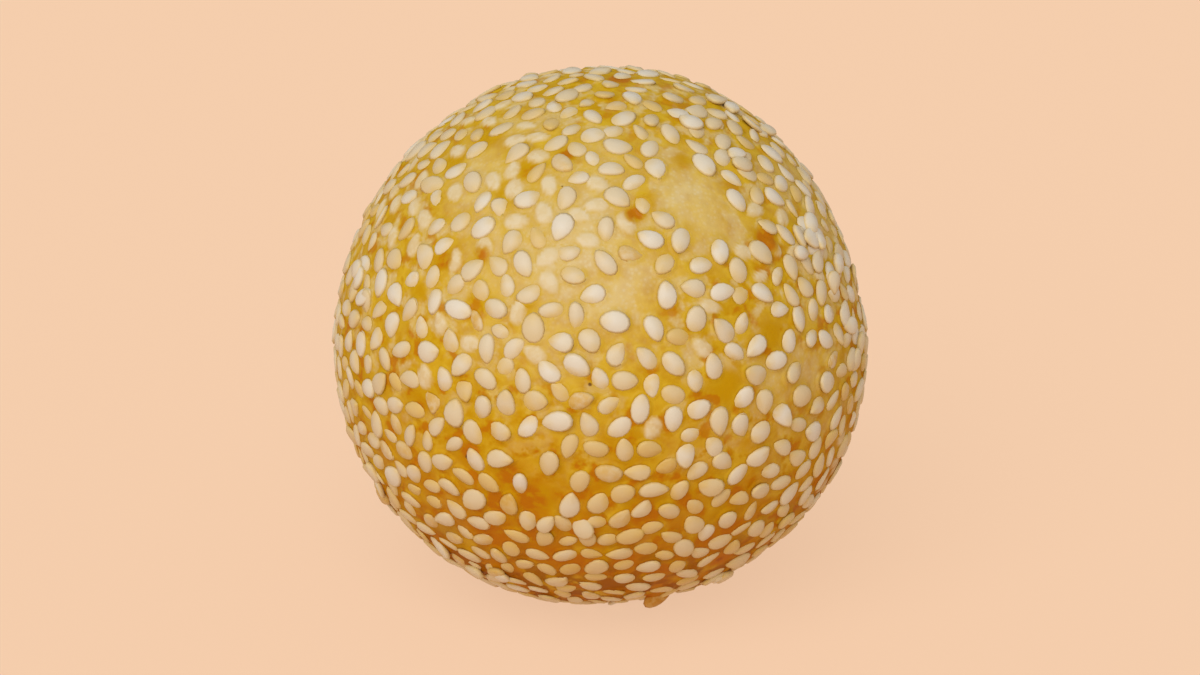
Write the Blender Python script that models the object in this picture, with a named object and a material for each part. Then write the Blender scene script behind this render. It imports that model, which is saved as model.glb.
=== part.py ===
"""A fried sesame ball: a ball of dough with its largest sesame seeds fused on, resting on a small flat spot.

Metres, +Z up. The origin is the middle of the flat spot, and the front of the ball faces -Y. A place on the
ball is given as degrees round from the front, towards +X, and degrees up from the level of the ball's centre.
"""

import math

import bmesh
import bpy
import numpy as np
from mathutils import Matrix

# The ball of dough, in metres
DOUGH_RADIUS = 0.0315
FLAT_SPOT_RADIUS = 0.0090
CENTRE_HEIGHT = math.sqrt(DOUGH_RADIUS**2 - FLAT_SPOT_RADIUS**2)
BALL_SUBDIVISIONS = 4

# Swells and hollows of the dough: degrees round, degrees up, height in metres, width in degrees
SWELLS = {
    "right shoulder, high": (136, 63, 0.0007, 20),
    "left shoulder, high": (-128, 68, 0.0004, 16),
    "hollow at the right": (97, 19, -0.0007, 20),
    "hollow at the left": (-95, 14, -0.0003, 26),
    "lower left": (-68, -45, 0.0003, 26),
    "lower right": (76, -32, 0.0004, 26),
    "hollow under the front": (14, -66, -0.0004, 12),
    "back": (172, -12, 0.0004, 30),
    "hollow at the back": (-142, 28, -0.0004, 26),
}

# Sesame seeds, in metres
SEED_LENGTH = 0.00325
SEED_LENGTH_SPREAD = 0.00026
SEED_SLIMNESS = 0.66
SEED_SLIMNESS_SPREAD = 0.055
SEED_THICKNESS = 0.00080
SEED_TAPER = 0.20
SEED_TILT_DEG = 6.0
SEED_LIFT = -0.00002
SEED_LIFT_SPREAD = 0.00009
ROOT_DEPTH = 1.9

# How the seeds are spread
SEED_DRAW = 28
SEED_COUNT = 1500
FUSED_SEEDS = 198
PUSH_STEPS = 8
PUSH_STEP = 0.28
SEED_SIDES = 7
SEED_RINGS = 3

# Bare patches of dough, with no seed on them: degrees round, degrees up, radius in metres
BARE_PATCHES = {
    "pale patch, upper right": (30, 45, 0.0045),
    "its lower edge": (36, 40, 0.0030),
    "its upper edge": (23, 49, 0.0028),
    "above it": (34, 57, 0.0021),
    "upper left": (-46, 58, 0.0022),
    "amber, right": (38, 18, 0.0022),
    "amber, right of the middle": (26, 8, 0.0020),
    "back, high": (165, 40, 0.0036),
    "back, low": (-150, -14, 0.0027),
}

# Where the seeds are sunk deeper: degrees round, degrees up, width in degrees, depth in metres
DEEPER_SEEDS = {
    "round the pale patch": (29, 46, 15, 0.00008),
    "upper left": (-46, 50, 24, 0.00011),
    "upper middle": (-6, 40, 18, 0.00006),
    "left": (-42, 18, 14, 0.00007),
    "middle": (6, 8, 16, 0.00006),
    "back": (160, 38, 26, 0.00011),
    "back left": (-120, 10, 22, 0.00008),
}

# Heaps where seeds lie on others: degrees round, degrees up, number of seeds
HEAPS = {
    "right": (55, 32, 5),
    "right rim": (66, 24, 4),
    "right, lower": (70, 5, 3),
    "upper right": (53, 60, 4),
    "top right": (81, 60, 4),
    "left rim": (-69, 16, 3),
    "lower left": (-62, -22, 3),
    "low front": (-14, -24, 2),
    "low front, left": (-33, -40, 3),
    "low front, right": (38, -46, 3),
    "back right": (128, 5, 4),
    "back left": (-158, 52, 3),
}
HEAP_SPREAD = 0.0021
HEAP_LIFT = 0.00044
HEAP_LIFT_SPREAD = 0.00008

# The seed that hangs off the ball low down at the front: degrees round, degrees up, turn and tilts in
# degrees, lift in metres
HANGING_SEED = (24.2, -59.2, 22.0, (-42.0, 10.0), 0.00050)

# Colours, linear
DOUGH_COLOUR = (0.58, 0.31, 0.045, 1.0)
SEED_COLOUR = (0.73, 0.56, 0.34, 1.0)


def clear_scene():
    for item in list(bpy.data.objects):
        bpy.data.objects.remove(item, do_unlink=True)


def food_material(name, colour, roughness):
    material = bpy.data.materials.new(name)
    material.use_nodes = True
    shader = material.node_tree.nodes["Principled BSDF"]
    shader.inputs["Base Color"].default_value = colour
    shader.inputs["Roughness"].default_value = roughness
    shader.inputs["Metallic"].default_value = 0.0
    material.diffuse_color = colour
    return material


def direction(round_deg, up_deg):
    """Unit vector towards a place on the ball."""
    turn = math.radians(round_deg)
    rise = math.radians(up_deg)
    return np.array([math.cos(rise) * math.sin(turn), -math.cos(rise) * math.cos(turn), math.sin(rise)])


def bell(ways, round_deg, up_deg, width_deg):
    """1 at a place on the ball, falling to nothing round it as exp(-(angle / width)^2)."""
    angle = np.arccos(np.clip(ways @ direction(round_deg, up_deg), -1, 1))
    return np.exp(-((angle / math.radians(width_deg)) ** 2))


def dough_radius(ways):
    """Distance from the ball's centre to the dough along each way: a sphere plus a bell for each swell."""
    radius = np.full(len(ways), DOUGH_RADIUS)
    for round_deg, up_deg, height, width_deg in SWELLS.values():
        radius += height * bell(ways, round_deg, up_deg, width_deg)
    return radius


def unit(vectors):
    return vectors / np.linalg.norm(vectors, axis=-1, keepdims=True)


def pushed_apart(ways):
    """The ways after a few steps in which each is pushed off its near neighbours, so the gaps even out."""
    reach = 1.25 * math.sqrt(4 * math.pi / len(ways))
    for _ in range(PUSH_STEPS):
        apart = ways[:, None, :] - ways[None, :, :]
        gap = np.linalg.norm(apart, axis=2)
        np.fill_diagonal(gap, reach)
        push = np.clip(1 - gap / reach, 0, None) * reach / gap
        ways = unit(ways + PUSH_STEP * (push[:, :, None] * apart).sum(axis=1))
    return ways


def off_bare_patches(ways):
    """The ways that lie outside every bare patch."""
    kept = np.ones(len(ways), dtype=bool)
    for round_deg, up_deg, radius in BARE_PATCHES.values():
        kept &= ways @ direction(round_deg, up_deg) < math.cos(radius / DOUGH_RADIUS)
    return ways[kept]


def evenly_first(ways):
    """The ways, each furthest from all before it, so that however many are taken, they are spread evenly."""
    order = [0]
    nearest = ways @ ways[0]
    for _ in range(len(ways) - 1):
        order.append(int(np.argmin(nearest)))
        nearest = np.maximum(nearest, ways @ ways[order[-1]])
    return ways[order]


def heap_ways(draw):
    """The ways of the seeds that lie on others, each heap's spread at random round its middle."""
    places = [direction(*heap[:2]) for heap in HEAPS.values() for _ in range(heap[2])]
    return unit(np.array(places) + draw.normal(0, HEAP_SPREAD / DOUGH_RADIUS, (len(places), 3)))


def lay_seeds():
    """Places and sizes of all the seeds: the even ones, largest and proudest first, the heaped, the hung."""
    draw = np.random.default_rng(SEED_DRAW)
    even = evenly_first(off_bare_patches(pushed_apart(unit(draw.normal(size=(SEED_COUNT, 3))))))
    heaped = heap_ways(draw)
    round_deg, up_deg, turn_deg, tilt_deg, hang_lift = HANGING_SEED
    ways = np.concatenate([even, heaped, direction(round_deg, up_deg)[None]])
    count = len(ways)
    rest = count - len(even)
    turn = draw.uniform(0, 2 * math.pi, count)
    length = draw.normal(SEED_LENGTH, SEED_LENGTH_SPREAD, count)
    length[:-rest] = np.sort(length[:-rest])[::-1]
    slimness = draw.normal(SEED_SLIMNESS, SEED_SLIMNESS_SPREAD, count)
    lift = draw.normal(SEED_LIFT, SEED_LIFT_SPREAD, count)
    lift[:-rest] = np.sort(lift[:-rest])[::-1]
    for round_deg, up_deg, width_deg, depth in DEEPER_SEEDS.values():
        lift[:-rest] -= depth * bell(even, round_deg, up_deg, width_deg)
    lift[-rest:] = draw.normal(HEAP_LIFT, HEAP_LIFT_SPREAD, rest)
    tilt = np.radians(draw.normal(0, SEED_TILT_DEG, (count, 2)))
    turn[-1] = math.radians(turn_deg)
    lift[-1] = hang_lift
    tilt[-1] = np.radians(tilt_deg)
    stand = dough_radius(ways) + lift
    return {"way": ways, "turn": turn, "tilt": tilt, "stand": stand, "length": length, "slimness": slimness,
            "even": len(even)}


def seed_frame(way, turn, tilt, distance):
    """Matrix that lays a seed on the ball: flat side out along the way, turned about it, then tipped."""
    side = unit(np.array([-way[1], way[0], 0.0]))
    ahead = np.cross(way, side)
    lay = Matrix(np.column_stack([side, ahead, way]).tolist()).to_4x4()
    spin = Matrix.Rotation(turn, 4, "Z")
    tip = Matrix.Rotation(tilt[0], 4, "X") @ Matrix.Rotation(tilt[1], 4, "Y")
    return Matrix.Translation(way * distance) @ lay @ spin @ tip


def teardrop_mesh(material):
    """A seed of unit length, width and thickness: pointed at +X, round at -X, with a deep root below."""
    bm = bmesh.new()
    bmesh.ops.create_uvsphere(bm, u_segments=SEED_SIDES, v_segments=SEED_RINGS, radius=0.5)
    widest = SEED_TAPER / (1 + SEED_TAPER)
    full_width = math.sqrt(1 - widest**2) * ((1 + widest) / 2) ** SEED_TAPER
    for vert in bm.verts:
        vert.co.y *= max(0.5 - vert.co.x, 0.0) ** SEED_TAPER / full_width
        if vert.co.z < 0:
            vert.co.z *= ROOT_DEPTH
    mesh = bpy.data.meshes.new("sesame seed")
    bm.to_mesh(mesh)
    bm.free()
    mesh.materials.append(material)
    return mesh


def dough_ball(collection, material):
    """The bare ball, centred at CENTRE_HEIGHT: an icosphere with its points moved out or in by the swells."""
    bpy.ops.mesh.primitive_ico_sphere_add(subdivisions=BALL_SUBDIVISIONS, radius=1)
    ball = bpy.context.active_object
    ball.name = "sesame_ball"
    ball.data.name = "sesame_ball"
    for other in list(ball.users_collection):
        other.objects.unlink(ball)
    collection.objects.link(ball)
    places = np.empty(len(ball.data.vertices) * 3)
    ball.data.vertices.foreach_get("co", places)
    ways = unit(places.reshape(-1, 3))
    points = ways * dough_radius(ways)[:, None] + [0, 0, CENTRE_HEIGHT]
    ball.data.vertices.foreach_set("co", points.ravel())
    ball.data.materials.append(material)
    return ball


def largest_seeds(collection, mesh):
    """The largest seeds, the heaps and the hanging one, each an object that shares the teardrop mesh."""
    seeds = lay_seeds()
    even = seeds["even"]
    clear = seeds["way"][:even] @ seeds["way"][-1] < math.cos(1.2 * SEED_LENGTH / DOUGH_RADIUS)
    chosen = [*np.flatnonzero(clear)[:FUSED_SEEDS], *range(even, len(seeds["way"]))]
    rows = zip(*(seeds[key][chosen] for key in ("way", "turn", "tilt", "stand", "length", "slimness")))
    centre = Matrix.Translation((0, 0, CENTRE_HEIGHT))
    for number, (way, turn, tilt, distance, length, slimness) in enumerate(rows):
        seed = bpy.data.objects.new(f"seed_{number:03d}", mesh)
        size = Matrix.Diagonal((length, length * slimness, SEED_THICKNESS, 1))
        seed.matrix_world = centre @ seed_frame(way, turn, tilt, distance) @ size
        collection.objects.link(seed)


def apply_modifiers(item):
    """The object's mesh becomes what its modifiers make of it."""
    bpy.context.view_layer.update()
    finished = bpy.data.meshes.new_from_object(item.evaluated_get(bpy.context.evaluated_depsgraph_get()))
    rough = item.data
    item.modifiers.clear()
    item.data = finished
    bpy.data.meshes.remove(rough)
    finished.name = item.name


def fuse(item, seeds):
    """Joins every seed of the collection to the ball and removes the separate seeds."""
    union = item.modifiers.new("seeds", "BOOLEAN")
    union.operation = "UNION"
    union.operand_type = "COLLECTION"
    union.collection = seeds
    union.solver = "EXACT"
    apply_modifiers(item)
    for seed in list(seeds.objects):
        bpy.data.objects.remove(seed, do_unlink=True)
    bpy.data.collections.remove(seeds)


def cut_flat_spot(item, collection):
    """Cuts off what lies below the resting plane."""
    depth = DOUGH_RADIUS
    bpy.ops.mesh.primitive_cube_add(size=1, location=(0, 0, -depth / 2))
    block = bpy.context.active_object
    block.name = "below the resting plane"
    block.scale = (2 * DOUGH_RADIUS, 2 * DOUGH_RADIUS, depth)
    block.display_type = "WIRE"
    block.hide_render = True
    for other in list(block.users_collection):
        other.objects.unlink(block)
    collection.objects.link(block)
    cut = item.modifiers.new("flat spot", "BOOLEAN")
    cut.operation = "DIFFERENCE"
    cut.object = block
    cut.solver = "EXACT"


def build():
    clear_scene()
    scene_collection = bpy.context.scene.collection
    parts = bpy.data.collections.new("sesame ball")
    cutters = bpy.data.collections.new("cutters")
    seeds = bpy.data.collections.new("seeds")
    for collection in (parts, cutters, seeds):
        scene_collection.children.link(collection)
    dough = food_material("fried dough", DOUGH_COLOUR, 0.32)
    sesame = food_material("sesame seed", SEED_COLOUR, 0.45)
    ball = dough_ball(parts, dough)
    largest_seeds(seeds, teardrop_mesh(sesame))
    fuse(ball, seeds)
    cut_flat_spot(ball, cutters)
    ball.data.shade_smooth()
    ball.data.set_sharp_from_angle(angle=math.radians(38))


build()
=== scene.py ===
"""Looks of a fried sesame ball: a skin of oily dough and its sesame seeds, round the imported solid.

Metres, +Z up, the front of the ball towards -Y. A place on the ball is given as degrees round from the front,
towards +X, and degrees up from the level of the ball's centre. The rule that lays the seeds is the one that
laid the solid's own seeds, so the largest ones here stand where the solid has them.
"""

import math

import bpy
import numpy as np
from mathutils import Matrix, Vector


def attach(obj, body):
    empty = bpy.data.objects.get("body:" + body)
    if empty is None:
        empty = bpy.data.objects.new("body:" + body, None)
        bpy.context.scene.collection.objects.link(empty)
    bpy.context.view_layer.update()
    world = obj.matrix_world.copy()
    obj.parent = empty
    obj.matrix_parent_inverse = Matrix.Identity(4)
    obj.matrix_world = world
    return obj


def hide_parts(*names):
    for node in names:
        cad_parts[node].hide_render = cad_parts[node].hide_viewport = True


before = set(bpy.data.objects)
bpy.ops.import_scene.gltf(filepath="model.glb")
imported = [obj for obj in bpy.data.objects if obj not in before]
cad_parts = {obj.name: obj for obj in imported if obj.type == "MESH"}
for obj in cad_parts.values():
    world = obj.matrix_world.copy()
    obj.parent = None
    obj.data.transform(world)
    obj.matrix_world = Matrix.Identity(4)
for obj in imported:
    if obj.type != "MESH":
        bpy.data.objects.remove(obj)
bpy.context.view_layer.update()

# The ball of dough, in metres
DOUGH_RADIUS = 0.0315
FLAT_SPOT_RADIUS = 0.0090
CENTRE_HEIGHT = math.sqrt(DOUGH_RADIUS**2 - FLAT_SPOT_RADIUS**2)
CENTRE = np.array([0.0, 0.0, CENTRE_HEIGHT])

# Swells and hollows of the dough: degrees round, degrees up, height in metres, width in degrees
SWELLS = {
    "right shoulder, high": (136, 63, 0.0007, 20),
    "left shoulder, high": (-128, 68, 0.0004, 16),
    "hollow at the right": (97, 19, -0.0007, 20),
    "hollow at the left": (-95, 14, -0.0003, 26),
    "lower left": (-68, -45, 0.0003, 26),
    "lower right": (76, -32, 0.0004, 26),
    "hollow under the front": (14, -66, -0.0004, 12),
    "back": (172, -12, 0.0004, 30),
    "hollow at the back": (-142, 28, -0.0004, 26),
}

# Sesame seeds, in metres
SEED_LENGTH = 0.00325
SEED_LENGTH_SPREAD = 0.00026
SEED_SLIMNESS = 0.66
SEED_SLIMNESS_SPREAD = 0.055
SEED_THICKNESS = 0.00080
SEED_TAPER = 0.20
SEED_TILT_DEG = 6.0
SEED_LIFT = -0.00002
SEED_LIFT_SPREAD = 0.00009

# How the seeds are spread. They push each other apart over a share of their mean gap
SEED_DRAW = 28
SEED_COUNT = 1500
PUSH_STEPS = 8
PUSH_STEP = 0.28
PUSH_REACH = 1.25

# Bare patches of dough, with no seed on them: degrees round, degrees up, radius in metres
BARE_PATCHES = {
    "pale patch, upper right": (30, 45, 0.0045),
    "its lower edge": (36, 40, 0.0030),
    "its upper edge": (23, 49, 0.0028),
    "above it": (34, 57, 0.0021),
    "upper left": (-46, 58, 0.0022),
    "amber, right": (38, 18, 0.0022),
    "amber, right of the middle": (26, 8, 0.0020),
    "back, high": (165, 40, 0.0036),
    "back, low": (-150, -14, 0.0027),
}

# Where the seeds are sunk deeper: degrees round, degrees up, width in degrees, depth in metres
DEEPER_SEEDS = {
    "round the pale patch": (29, 46, 15, 0.00008),
    "upper left": (-46, 50, 24, 0.00011),
    "upper middle": (-6, 40, 18, 0.00006),
    "left": (-42, 18, 14, 0.00007),
    "middle": (6, 8, 16, 0.00006),
    "back": (160, 38, 26, 0.00011),
    "back left": (-120, 10, 22, 0.00008),
}

# Heaps where seeds lie on others: degrees round, degrees up, number of seeds
HEAPS = {
    "right": (55, 32, 5),
    "right rim": (66, 24, 4),
    "right, lower": (70, 5, 3),
    "upper right": (53, 60, 4),
    "top right": (81, 60, 4),
    "left rim": (-69, 16, 3),
    "lower left": (-62, -22, 3),
    "low front": (-14, -24, 2),
    "low front, left": (-33, -40, 3),
    "low front, right": (38, -46, 3),
    "back right": (128, 5, 4),
    "back left": (-158, 52, 3),
}
HEAP_SPREAD = 0.0021
HEAP_LIFT = 0.00044
HEAP_LIFT_SPREAD = 0.00008

# The seed that hangs off the ball low down at the front: degrees round, degrees up, turn and tilts in
# degrees, lift in metres
HANGING_SEED = (24.2, -59.2, 22.0, (-42.0, 10.0), 0.00050)

# Toasted spots on the dough: degrees round, degrees up, radius in metres, strength
TOASTED_SPOTS = {
    "by the pale patch": (45.6, 35.0, 0.0014, 0.9),
    "left of the pale patch": (9.8, 45.0, 0.0009, 1.0),
    "top": (97.0, 86.0, 0.0015, 0.9),
    "near the top": (-13.2, 59.8, 0.0010, 0.7),
    "left": (-39.9, 31.6, 0.0011, 0.7),
    "left, inner": (-30.0, 34.4, 0.0010, 0.6),
    "low left": (-39.3, 1.2, 0.0010, 0.6),
    "low left, inner": (-27.0, -6.0, 0.0013, 1.0),
    "low left, outer": (-39.8, -17.1, 0.0012, 0.8),
    "low left, right of it": (-18.9, -9.9, 0.0017, 0.75),
    "low left, far": (-39.0, -24.8, 0.0015, 0.7),
    "lower left": (-26.1, -26.7, 0.0027, 0.85),
    "lower left, inner": (-14.2, -23.4, 0.0027, 0.85),
    "lower left, above": (-14.8, -15.3, 0.0022, 0.8),
    "lower left, higher": (-21.9, -17.5, 0.0021, 0.8),
    "lower left, below": (-11.0, -32.0, 0.0019, 0.75),
    "under the middle": (-4.5, -22.6, 0.0024, 0.8),
    "far under the middle": (-4.2, -34.0, 0.0023, 0.8),
    "low middle": (9.5, -18.5, 0.0020, 0.85),
    "low middle, right": (18.0, -16.0, 0.0014, 0.7),
    "lower middle, above": (6.1, -32.5, 0.0018, 0.75),
    "lower middle": (15.8, -38.2, 0.0018, 0.85),
    "low right": (31.9, -26.7, 0.0018, 0.8),
    "low right, above": (29.8, -16.5, 0.0015, 0.7),
    "low right, left of it": (25.2, -29.0, 0.0018, 0.75),
    "low right, far": (45.4, -17.2, 0.0014, 0.7),
    "lower right": (33.9, -38.7, 0.0015, 1.0),
    "right": (58.7, -22.3, 0.0013, 0.9),
    "lowest right": (46.6, -43.1, 0.0014, 0.8),
    "by the hanging seed": (19.0, -57.0, 0.0016, 1.0),
    "back": (150.0, -20.0, 0.0015, 0.9),
    "back, high": (-165.0, 30.0, 0.0012, 0.8),
    "far right": (110.0, 35.0, 0.0012, 0.8),
    "far left": (-118.0, 8.0, 0.0013, 0.8),
}

# Small dark specks: degrees round, degrees up, radius in metres
SPECKS = {
    "upper left": (-12.1, 51.4, 0.00015),
    "middle": (-2.0, 10.7, 0.00018),
    "low left": (-27.9, -7.2, 0.00024),
    "back": (141.0, 22.0, 0.00018),
    "right": (96.0, -8.0, 0.00018),
}

# Pale, hazy dough full of fine bubbles; those on the upper front also hold a painted highlight: degrees
# round, degrees up, width in degrees, strength
HAZES_AND_HIGHLIGHT = {
    "pale patch": (29, 46, 12, 0.72),
    "upper middle": (-12, 40, 24, 0.8),
    "upper left": (-44, 52, 16, 0.6),
    "left of the middle": (-27, 36, 10, 0.75),
    "middle": (-8, 18, 12, 0.45),
    "right of the middle": (42, 6, 22, 0.34),
    "back": (160, 38, 20, 0.7),
    "right, high": (80, 40, 22, 0.4),
    "back left": (-130, 20, 22, 0.4),
}

# Pools of clear amber dough: degrees round, degrees up, width in degrees
AMBER_POOLS = {
    "left": (-39, 4, 5),
    "far left": (-59, 0, 4),
    "left, above": (-45, 24, 3),
    "left rim": (-68, 14, 4),
    "left, high": (-58, 53, 3),
    "left of the middle": (-28, 25, 3),
    "inner left": (-29, 48, 3),
    "inner left, above": (-25, 55, 3),
    "upper left": (-56, 61, 5),
    "top left": (-65, 79, 4),
    "top": (-110, 87, 4),
    "above the pale patch": (33, 57, 3),
    "right of the pale patch": (54, 36, 4),
    "right rim": (63, 25, 4),
    "right of the middle": (26, 8, 5),
    "right": (38, 15, 5),
    "middle": (-17, 26, 3),
    "middle, low": (5, -2, 5),
    "low left": (-27, -6, 4),
    "lower left": (-15, -16, 6),
    "low middle": (-1, -11, 4),
    "lower middle": (10, -18, 5),
    "lower right": (30, -19, 5),
    "far right": (100, 20, 6),
    "back right": (140, -5, 6),
    "back": (-175, 10, 6),
    "back left": (-115, 35, 6),
}


def direction(round_deg, up_deg):
    """Unit vector towards a place on the ball."""
    turn = math.radians(round_deg)
    rise = math.radians(up_deg)
    return np.array([math.cos(rise) * math.sin(turn), -math.cos(rise) * math.cos(turn), math.sin(rise)])


def bell(ways, round_deg, up_deg, width_deg):
    """1 at a place on the ball, falling to nothing round it as exp(-(angle / width)^2)."""
    angle = np.arccos(np.clip(ways @ direction(round_deg, up_deg), -1, 1))
    return np.exp(-((angle / math.radians(width_deg)) ** 2))


def dough_radius(ways):
    """Distance from the ball's centre to the dough along each way: a sphere plus a bell for each swell."""
    radius = np.full(len(ways), DOUGH_RADIUS)
    for round_deg, up_deg, height, width_deg in SWELLS.values():
        radius += height * bell(ways, round_deg, up_deg, width_deg)
    return radius


def unit(vectors):
    """The vectors, each divided by its length."""
    return vectors / np.linalg.norm(vectors, axis=-1, keepdims=True)


def pushed_apart(ways):
    """The ways after a few steps in which each is pushed off its near neighbours, so the gaps even out.

    The push is (1 - gap / reach) times the reach, straight away from each neighbour nearer than the reach.
    """
    reach = PUSH_REACH * math.sqrt(4 * math.pi / len(ways))
    for _ in range(PUSH_STEPS):
        apart = ways[:, None, :] - ways[None, :, :]
        gap = np.linalg.norm(apart, axis=2)
        np.fill_diagonal(gap, reach)
        push = np.clip(1 - gap / reach, 0, None) * reach / gap
        ways = unit(ways + PUSH_STEP * (push[:, :, None] * apart).sum(axis=1))
    return ways


def off_bare_patches(ways):
    """The ways that lie outside every bare patch."""
    kept = np.ones(len(ways), dtype=bool)
    for round_deg, up_deg, radius in BARE_PATCHES.values():
        kept &= ways @ direction(round_deg, up_deg) < math.cos(radius / DOUGH_RADIUS)
    return ways[kept]


def evenly_first(ways):
    """The ways, each furthest from all before it, so that however many are taken, they are spread evenly."""
    order = [0]
    nearest = ways @ ways[0]
    for _ in range(len(ways) - 1):
        order.append(int(np.argmin(nearest)))
        nearest = np.maximum(nearest, ways @ ways[order[-1]])
    return ways[order]


def heap_ways(draw):
    """The ways of the seeds that lie on others, each heap's spread at random round its middle."""
    places = [direction(*heap[:2]) for heap in HEAPS.values() for _ in range(heap[2])]
    return unit(np.array(places) + draw.normal(0, HEAP_SPREAD / DOUGH_RADIUS, (len(places), 3)))


def lay_seeds():
    """Places and sizes of all the seeds: the even ones, largest and proudest first, the heaped, the hung."""
    draw = np.random.default_rng(SEED_DRAW)
    even = evenly_first(off_bare_patches(pushed_apart(unit(draw.normal(size=(SEED_COUNT, 3))))))
    heaped = heap_ways(draw)
    round_deg, up_deg, turn_deg, tilt_deg, hang_lift = HANGING_SEED
    ways = np.concatenate([even, heaped, direction(round_deg, up_deg)[None]])
    count = len(ways)
    rest = count - len(even)
    turn = draw.uniform(0, 2 * math.pi, count)
    length = draw.normal(SEED_LENGTH, SEED_LENGTH_SPREAD, count)
    length[:-rest] = np.sort(length[:-rest])[::-1]
    slimness = draw.normal(SEED_SLIMNESS, SEED_SLIMNESS_SPREAD, count)
    lift = draw.normal(SEED_LIFT, SEED_LIFT_SPREAD, count)
    lift[:-rest] = np.sort(lift[:-rest])[::-1]
    for round_deg, up_deg, width_deg, depth in DEEPER_SEEDS.values():
        lift[:-rest] -= depth * bell(even, round_deg, up_deg, width_deg)
    lift[-rest:] = draw.normal(HEAP_LIFT, HEAP_LIFT_SPREAD, rest)
    tilt = np.radians(draw.normal(0, SEED_TILT_DEG, (count, 2)))
    turn[-1] = math.radians(turn_deg)
    lift[-1] = hang_lift
    tilt[-1] = np.radians(tilt_deg)
    stand = dough_radius(ways) + lift
    return {"way": ways, "turn": turn, "tilt": tilt, "stand": stand, "length": length, "slimness": slimness,
            "lift": lift}


def seed_axes(seeds):
    """The seeds' own axes, along, across and out: laid flat on the ball, turned, then tipped by the tilts.

    Turning by t takes (side, ahead) to (cos t side + sin t ahead, -sin t side + cos t ahead). Tipping by a
    about the first axis and by b about the second is the product of the two plain turns.
    """
    out = seeds["way"]
    side = unit(np.stack([-out[:, 1], out[:, 0], np.zeros(len(out))], axis=1))
    ahead = np.cross(out, side)
    t = seeds["turn"][:, None]
    along = np.cos(t) * side + np.sin(t) * ahead
    across = np.cos(t) * ahead - np.sin(t) * side
    a, b = seeds["tilt"][:, :1], seeds["tilt"][:, 1:]
    tipped_across = np.cos(a) * across + np.sin(a) * out
    tipped_out = np.cos(a) * out - np.sin(a) * across
    return (np.cos(b) * along - np.sin(b) * tipped_out, tipped_across,
            np.sin(b) * along + np.cos(b) * tipped_out)


# Looks of the seeds that the solid doesn't need. The poles, below and above, are places on a seed of half
# sizes 1. The shares of golden edge are for the rings and the poles, and it fades over heights in metres
SEED_SIDES = 14
SEED_RINGS_DEG = (-38, 6, 46)
SEED_ROUNDING = 0.62
SEED_POLES = ((-0.04, 0.0, -1.0), (-0.04, 0.0, 0.95))
EDGE_ON_RINGS = (1.0, 0.85, 0.10)
EDGE_AT_POLES = (1.0, 0.0)
EDGE_AT_POINT = 0.5
EDGE_FADE = (0.00006, 0.00034)

# How the seeds' forms differ: spreads and bounds of the thickness, as a share, and of the taper, then how far
# the bend, the skew, the blunted point and the lumps go, in half seeds
THICKNESS_SPREAD = 0.09
THICKNESS_BOUNDS = (0.75, 1.25)
TAPER_SPREAD = 0.09
TAPER_BOUNDS = (0.05, 0.42)
BEND_SPREAD = 0.06
SKEW_SPREAD = 0.05
BLUNTEST = 0.16
LUMP_SPREAD = 0.022

# Seeds sunk below FILMED_BELOW are hidden under a film of dough, and dough fills the space under those that
# lie on others. Slopes and shows are over distances from a seed's middle, in half seeds
FILMED_BELOW = -0.00017
FILM_THICKNESS = 0.00005
FILM_LOWEST = 0.00012
FILM_SLOPE = (0.45, 1.20)
FILM_SHOWS = (0.72, 1.08)
LOWEST_HEAPED = HEAP_LIFT - 2 * HEAP_LIFT_SPREAD
HEAP_FILL = 0.00028
HEAP_FILL_SLOPE = (0.60, 1.70)

# Where the dough clings to a seed: heights above the dough in metres, and rings below them as reach out from
# the seed and height, which for the slope is a share of the cling's. Noise makes both wobble by a share
CLING_OVER_RIM = 0.00009
CLING_LOWEST = 0.00005
CLING_HIGHEST = 0.00027
CLING_SLOPE = (0.00020, 0.32)
CLING_FOOT = (0.00050, -0.000005)
CLING_EDGE = (0.00090, -0.00004)
CLING_ROOT = (-0.0001, -0.00030)
CLING_TUCK = 0.00006
LEAST_RISE = 1e-9
WOBBLE_CELL = 0.0011
WOBBLE_DRAW = 21
HEIGHT_WOBBLE = 0.35
REACH_WOBBLE = 0.3
NEAR_ON_RINGS = (1.0, 0.8, 0.4, 0.1, 0.1)
WATERLINE_DEG = (-60, -40, -20, 0, 15, 30, 45, 60, 75)

# The dough's skin: cells along a side of its grid, then sizes in metres
SKIN_CELLS = 126
SKIN_FLOOR = 0.00006
FLAT_EDGE = 0.00012
PAIR_REACH = 0.0031

# Points are paired with seeds in blocks. Near fades over distances from a seed's middle, in half seeds, a
# seed's width is held from POINT_HELD on, and every way is taken to lead down by LEAST_DOWN at least
PAIR_BLOCKS = 24
NEAR_FADE = (0.95, 1.65)
POINT_HELD = 0.94
LEAST_DOWN = 0.001

# Noise: cells before it repeats, then its depth, its cell in metres and its draw. The dough's unevenness has
# its depth in metres
NOISE_CELLS = 24
UNEVENNESS = {"broad": (0.00007, 0.0034, 7), "fine": (0.00003, 0.0012, 8)}
HAZE_NOISE = (0.25, 0.0045, 11)
POOL_NOISE = (0.35, 0.0024, 12)

# Blisters: how many all over and in the pale patch, how far those spread as a share of the ball's radius,
# radii in metres and heights as shares of the radius
BLISTERS_ALL_OVER = 420
BLISTERS_IN_PATCH = 90
BLISTER_SPREAD = 0.10
BLISTER_RADII = (0.00035, 0.0009)
BLISTER_HEIGHTS = (0.06, 0.16)
BLISTER_REACH = 0.0010

# Draws for what only the looks need
LOOKS_DRAW = 5
BLISTER_DRAW = 6


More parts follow.
